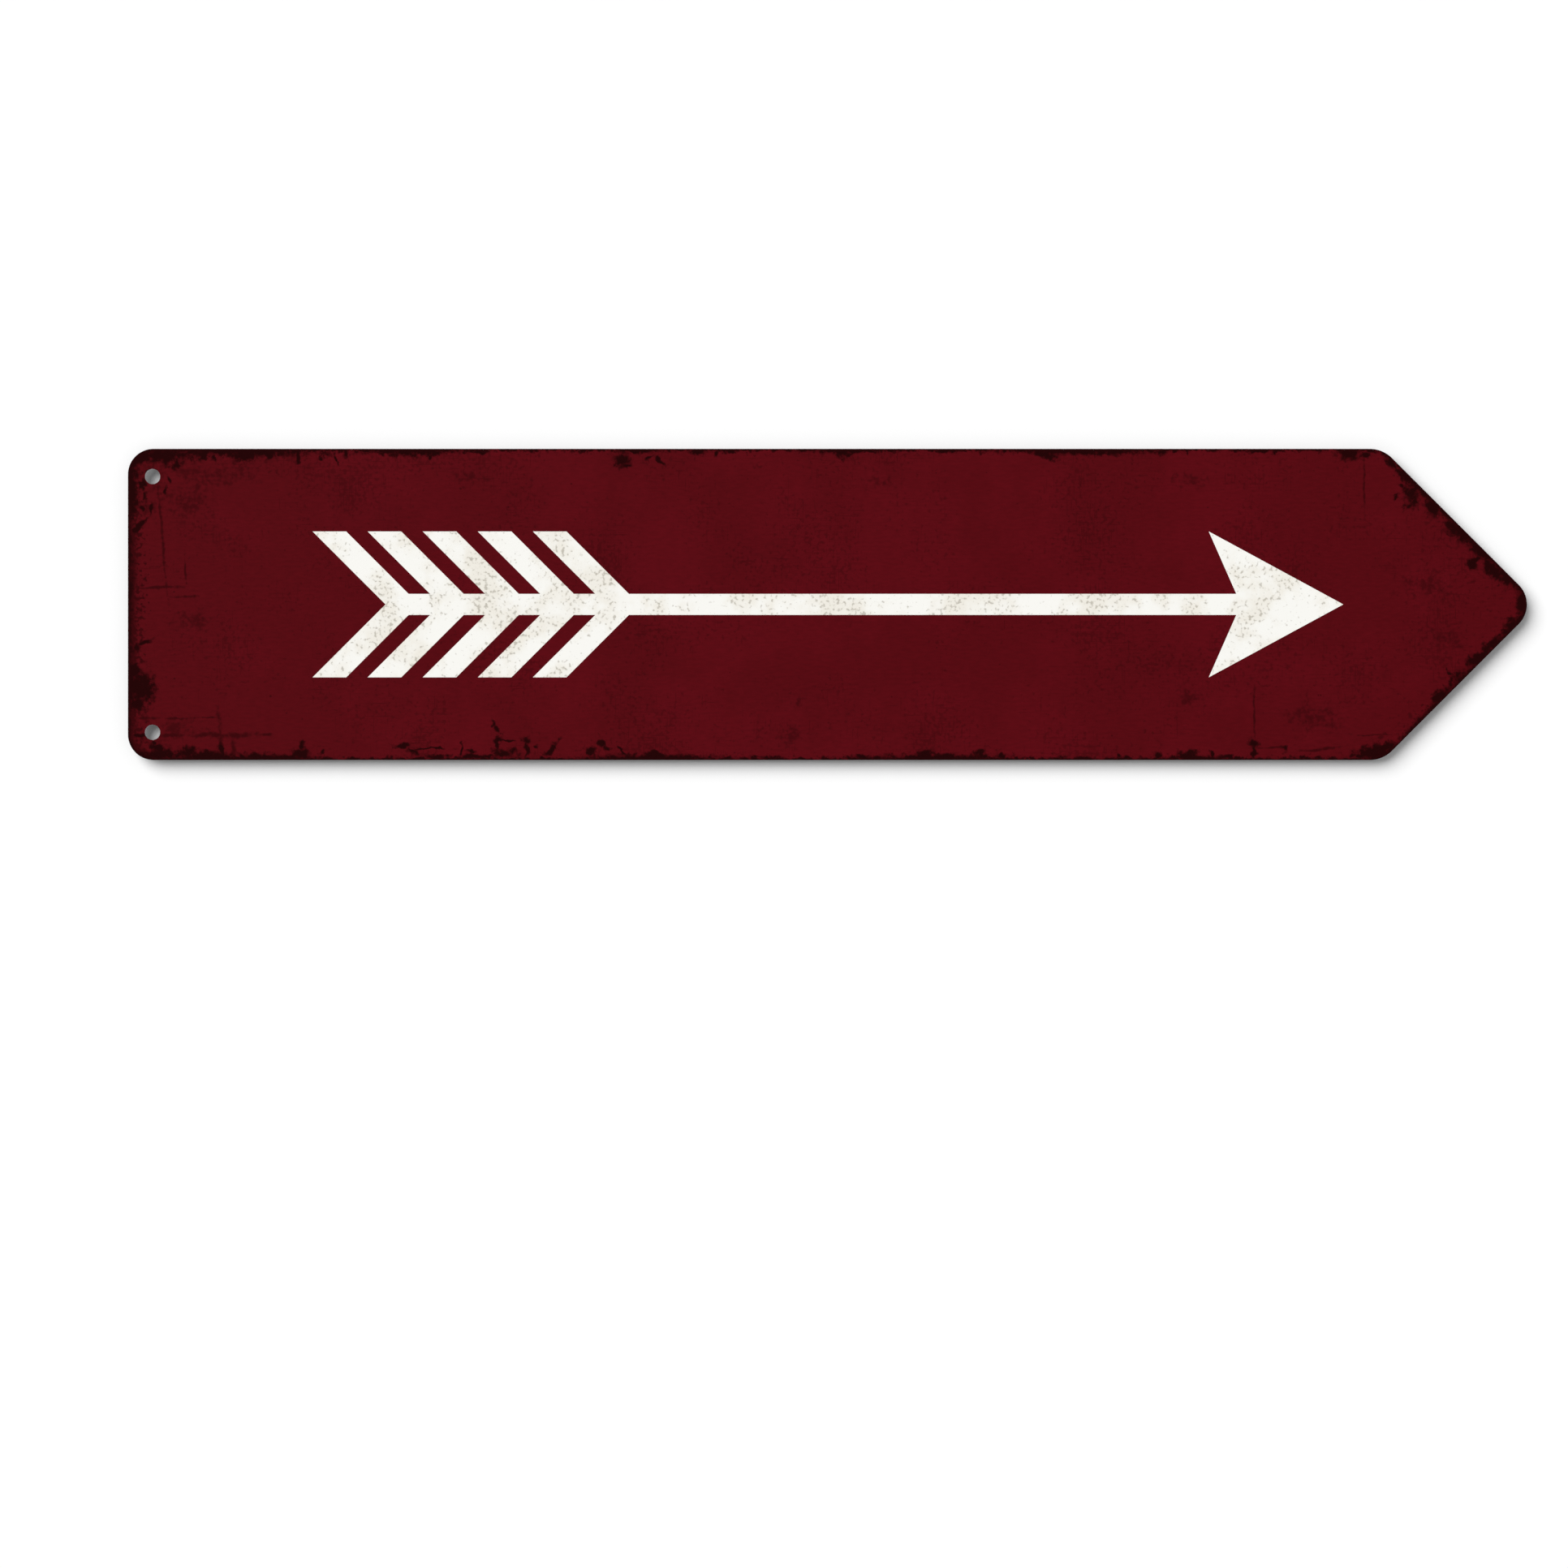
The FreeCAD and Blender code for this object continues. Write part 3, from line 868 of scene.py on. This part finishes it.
def plate_outline(sheet, inset):
    """Points round the plate, in x and z, drawn in from its edge by an inset."""
    lean = sheet.point_angle / 2
    point_x = HIGH.x - sheet.point_radius
    sharp_x = point_x + sheet.point_radius / math.sin(lean)
    corner_x = sharp_x - HALF_HEIGHT / math.tan(lean)
    shoulder_x = corner_x - sheet.shoulder_radius * math.tan(lean / 2)
    shoulder_z = HALF_HEIGHT - sheet.shoulder_radius
    tail_x = LOW.x + sheet.tail_radius
    tail_z = HALF_HEIGHT - sheet.tail_radius
    arcs = [
        ((point_x, 0), sheet.point_radius, lean - QUARTER_TURN, QUARTER_TURN - lean),
        ((shoulder_x, shoulder_z), sheet.shoulder_radius, QUARTER_TURN - lean, QUARTER_TURN),
        ((tail_x, tail_z), sheet.tail_radius, QUARTER_TURN, 2 * QUARTER_TURN),
        ((tail_x, -tail_z), sheet.tail_radius, 2 * QUARTER_TURN, 3 * QUARTER_TURN),
        ((shoulder_x, -shoulder_z), sheet.shoulder_radius, 3 * QUARTER_TURN, 3 * QUARTER_TURN + lean),
    ]
    return [
        point
        for centre, radius, first, last in arcs
        for point in arc_points(centre, radius - inset, first, last, CORNER_STEPS)
    ]


def arrow_outline(arrow):
    """Points round the printed arrow, in x and z: feathers, shaft and barbed head."""
    half = arrow.height / 2
    shaft = arrow.stroke / 2
    slant = half - shaft
    tail = LOW.x + arrow.start + slant
    tip = LOW.x + arrow.start + arrow.reach
    upper = []
    for number in range(arrow.feathers):
        root = tail + number * arrow.pitch
        upper += [
            (root, shaft),
            (root - slant, half),
            (root - slant + arrow.feather, half),
            (root + arrow.feather, shaft),
        ]
    barb = tip - arrow.head
    upper += [(barb + arrow.sweep, shaft), (barb, half)]
    lower = [(x, -z) for x, z in reversed(upper)]
    nock = (tail + shaft, 0)
    return [nock, *upper, (tip, 0), *lower]


class Shell:
    """A closed mesh made of rings of points that are set at a depth and walled together."""

    def __init__(self):
        self.mesh = bmesh.new()

    def ring(self, points, y):
        """A ring of points, in x and z, at a depth."""
        return [self.mesh.verts.new((x, y, z)) for x, z in points]

    def wall(self, first, second, smooth=True):
        """Faces between two rings with as many points."""
        count = len(first)
        for index in range(count):
            after = (index + 1) % count
            face = self.mesh.faces.new((first[index], first[after], second[after], second[index]))
            face.smooth = smooth

    def fill(self, *rings):
        """A flat face inside the first ring and outside the others."""
        edges = [
            self.mesh.edges.get(pair) or self.mesh.edges.new(pair)
            for ring in rings
            for pair in zip(ring, ring[1:] + ring[:1])
        ]
        bmesh.ops.triangle_fill(self.mesh, edges=edges, normal=(0, -1, 0), use_beauty=True)

    def piece(self, name, material):
        """Add the finished piece, riding on the sign."""
        bmesh.ops.recalc_face_normals(self.mesh, faces=self.mesh.faces)
        data = bpy.data.meshes.new(name)
        self.mesh.to_mesh(data)
        self.mesh.free()
        data.materials.append(material)
        made = bpy.data.objects.new(name, data)
        bpy.context.scene.collection.objects.link(made)
        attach(made, BODY)


class ARROW_SIGN_OT_brush_plate(bpy.types.Operator):
    """Give the sheet its brushed metal, which shows on the back, the edges and in the holes"""

    bl_idname = "arrow_sign.brush_plate"
    bl_label = "Brush the Plate"

    def execute(self, context):
        plate = frame["nodes"][PLATE]
        metal = metal_finish(context.scene.arrow_sign)
        for slot in plate.material_slots:
            slot.material = metal
        return {"FINISHED"}


class ARROW_SIGN_OT_print_field(bpy.types.Operator):
    """Print the maroon field on the front, over the eased edge and up to the holes"""

    bl_idname = "arrow_sign.print_field"
    bl_label = "Print the Field"

    def execute(self, context):
        settings = context.scene.arrow_sign
        sheet, film = settings.sheet, settings.print.film
        shell = Shell()
        bend = sheet.edge_round + film
        rims = []
        for step in range(RIM_STEPS + 1):
            turn = QUARTER_TURN * step / RIM_STEPS
            inset = sheet.edge_round - bend * math.sin(turn)
            depth = FRONT_Y + sheet.edge_round - bend * math.cos(turn)
            rims.append(shell.ring(plate_outline(sheet, inset), depth))
        under = shell.ring(plate_outline(sheet, sheet.edge_round), FRONT_Y)
        for first, second in zip(rims, rims[1:] + [under]):
            shell.wall(first, second)

        front_holes = []
        under_holes = []
        for mount in FIXING_HOLES:
            x, _, z = mount["pos_m"]
            radius = mount["dims"]["r_mm"] * MM
            circle = arc_points((x, z), radius, 0, math.tau, HOLE_STEPS)[:-1]
            front_holes.append(shell.ring(circle, FRONT_Y - film))
            under_holes.append(shell.ring(circle, FRONT_Y))
            shell.wall(front_holes[-1], under_holes[-1])
        shell.fill(rims[0], *front_holes)
        shell.fill(under, *under_holes)
        shell.piece("printed_field", maroon_finish(settings))
        return {"FINISHED"}


class ARROW_SIGN_OT_print_arrow(bpy.types.Operator):
    """Print the cream arrow on the field"""

    bl_idname = "arrow_sign.print_arrow"
    bl_label = "Print the Arrow"

    def execute(self, context):
        settings = context.scene.arrow_sign
        film = settings.print.film
        points = arrow_outline(settings.arrow)
        shell = Shell()
        front = shell.ring(points, FRONT_Y - film - settings.arrow.ink)
        # The back of the ink lies within the field's coat, so that no gap shows.
        sunk = shell.ring(points, FRONT_Y - film / 2)
        shell.wall(front, sunk, smooth=False)
        shell.fill(front)
        shell.fill(sunk)
        shell.piece("printed_arrow", cream_finish(settings))
        return {"FINISHED"}


def sun(name, strength, softness, source):
    """A broad even light that comes from a direction."""
    light = bpy.data.lights.new(name, "SUN")
    light.energy = strength
    light.angle = softness
    made = bpy.data.objects.new(name, light)
    made.rotation_euler = Vector(source).to_track_quat("Z", "Y").to_euler()
    bpy.context.scene.collection.objects.link(made)


def stage_plane(name, centre, turn, extent, material):
    """A large flat square that the camera sees, and that throws no light on the sign."""
    data = bpy.data.meshes.new(name)
    corners = [(-extent, -extent, 0), (extent, -extent, 0), (extent, extent, 0), (-extent, extent, 0)]
    data.from_pydata(corners, [], [(0, 1, 2, 3)])
    data.materials.append(material)
    made = bpy.data.objects.new(name, data)
    made.location = centre
    made.rotation_euler = turn
    made.visible_diffuse = False
    made.visible_glossy = False
    made.visible_shadow = False
    bpy.context.scene.collection.objects.link(made)


def white_stage_finish(stage):
    """A white that holds shadows, and that can be seen through from behind."""
    finish = Finish("white stage")
    white = (stage.whiteness, stage.whiteness, stage.whiteness, 1)
    paint = finish.node("BsdfDiffuse", white).outputs["BSDF"]
    clear = finish.node("BsdfTransparent").outputs["BSDF"]
    behind = finish.node("NewGeometry").outputs["Backfacing"]
    shown = finish.node("MixShader", behind, paint, clear).outputs["Shader"]
    finish.tree.nodes.remove(finish.shader)
    finish.feed(finish.tree.nodes["Material Output"].inputs["Surface"], shown)
    return finish.material


def light_room(stage):
    """A room that is white to look at and gives an even grey light, with bright panels all round
    that only show in metal."""
    world = bpy.data.worlds.new("studio")
    world.use_nodes = True
    desk = NodeDesk(world.node_tree)
    parts = desk.node("SeparateXYZ", desk.node("TexCoord").outputs["Generated"])
    turn = desk.math("ARCTAN2", parts.outputs["Y"], parts.outputs["X"])
    panels = desk.wave(turn, stage.panel_turn, stage.panel_pitch)
    swell = desk.wave(turn, stage.panel_turn, PANELS_PER_SWELL * stage.panel_pitch)
    bright = desk.math("POWER", swell, SWELL_SHARPNESS)
    lit = desk.math("MULTIPLY_ADD", bright, 1 - LEAST_PANEL, LEAST_PANEL)
    uneven = desk.math("MULTIPLY", panels, lit)
    reflected = desk.math("MULTIPLY_ADD", uneven, stage.panel_strength - stage.panel_gap, stage.panel_gap)

    # Metal shows the panels to the camera, but throws no panel light on the wall behind it.
    path = desk.node("LightPath").outputs
    first_hand = desk.math("LESS_THAN", path["Diffuse Depth"], 0.5)
    shown = desk.math("MULTIPLY", reflected, first_hand)
    unseen = desk.choose(path["Is Glossy Ray"], stage.fill, shown)
    strength = desk.choose(path["Is Camera Ray"], unseen, 1.0)
    background = desk.tree.nodes["Background"]
    background.inputs["Color"].default_value = (1, 1, 1, 1)
    desk.feed(background.inputs["Strength"], strength)
    bpy.context.scene.world = world


def place_camera(stage):
    """A camera square to the front, with the sign where it hangs in the picture."""
    data = bpy.data.cameras.new("camera")
    data.lens = stage.lens
    distance = stage.view_width * stage.lens / data.sensor_width
    camera = bpy.data.objects.new("camera", data)
    camera.location = (MIDDLE.x - stage.view_right, FRONT_Y - distance, MIDDLE.z - stage.view_up)
    camera.rotation_euler = Euler((QUARTER_TURN, 0, 0))
    data.clip_start = distance / CLIP_REACH
    data.clip_end = distance * CLIP_REACH
    bpy.context.scene.collection.objects.link(camera)
    bpy.context.scene.camera = camera


class ARROW_SIGN_OT_set_stage(bpy.types.Operator):
    """Set up the white wall and floor, the lights and the camera"""

    bl_idname = "arrow_sign.set_stage"
    bl_label = "Set the Stage"

    def execute(self, context):
        stage = context.scene.arrow_sign.stage
        wall_place = (MIDDLE.x, BACK_Y + stage.wall_gap, 0)
        floor_place = (MIDDLE.x, 0, MIDDLE.z - stage.floor_drop)
        upright = (QUARTER_TURN, 0, 0)
        white = white_stage_finish(stage)
        stage_plane("wall", wall_place, upright, stage.extent, white)
        stage_plane("floor", floor_place, (0, 0, 0), stage.extent, white)
        sun("key light", stage.key_strength, stage.key_softness, stage.key_source)
        sun("floor light", stage.floor_strength, 0, (0, 0, 1))
        light_room(stage)
        place_camera(stage)
        context.scene.view_settings.view_transform = "Standard"
        return {"FINISHED"}


OPERATORS = (
    ARROW_SIGN_OT_brush_plate,
    ARROW_SIGN_OT_print_field,
    ARROW_SIGN_OT_print_arrow,
    ARROW_SIGN_OT_set_stage,
)


class ARROW_SIGN_PT_panel(bpy.types.Panel):
    """The sign's sizes and colours, and the steps that finish it"""

    bl_idname = "ARROW_SIGN_PT_panel"
    bl_label = "Arrow Sign"
    bl_space_type = "VIEW_3D"
    bl_region_type = "UI"
    bl_category = "Arrow Sign"

    def draw(self, context):
        settings = context.scene.arrow_sign
        groups = (settings.sheet, settings.print, settings.arrow, settings.stage)
        for group, operator in zip(groups, OPERATORS):
            box = self.layout.box()
            for name in group.__annotations__:
                box.prop(group, name)
            box.operator(operator.bl_idname)


CLASSES = (
    SheetSettings,
    PrintSettings,
    ArrowSettings,
    StageSettings,
    SignSettings,
    *OPERATORS,
    ARROW_SIGN_PT_panel,
)


def register():
    for made in CLASSES:
        bpy.utils.register_class(made)
    bpy.types.Scene.arrow_sign = PointerProperty(type=SignSettings)


def unregister():
    del bpy.types.Scene.arrow_sign
    for made in reversed(CLASSES):
        bpy.utils.unregister_class(made)


def main():
    """Finish the sign."""
    register()
    bpy.ops.arrow_sign.brush_plate()
    bpy.ops.arrow_sign.print_field()
    bpy.ops.arrow_sign.print_arrow()
    bpy.ops.arrow_sign.set_stage()


if __name__ == "__main__":
    main()
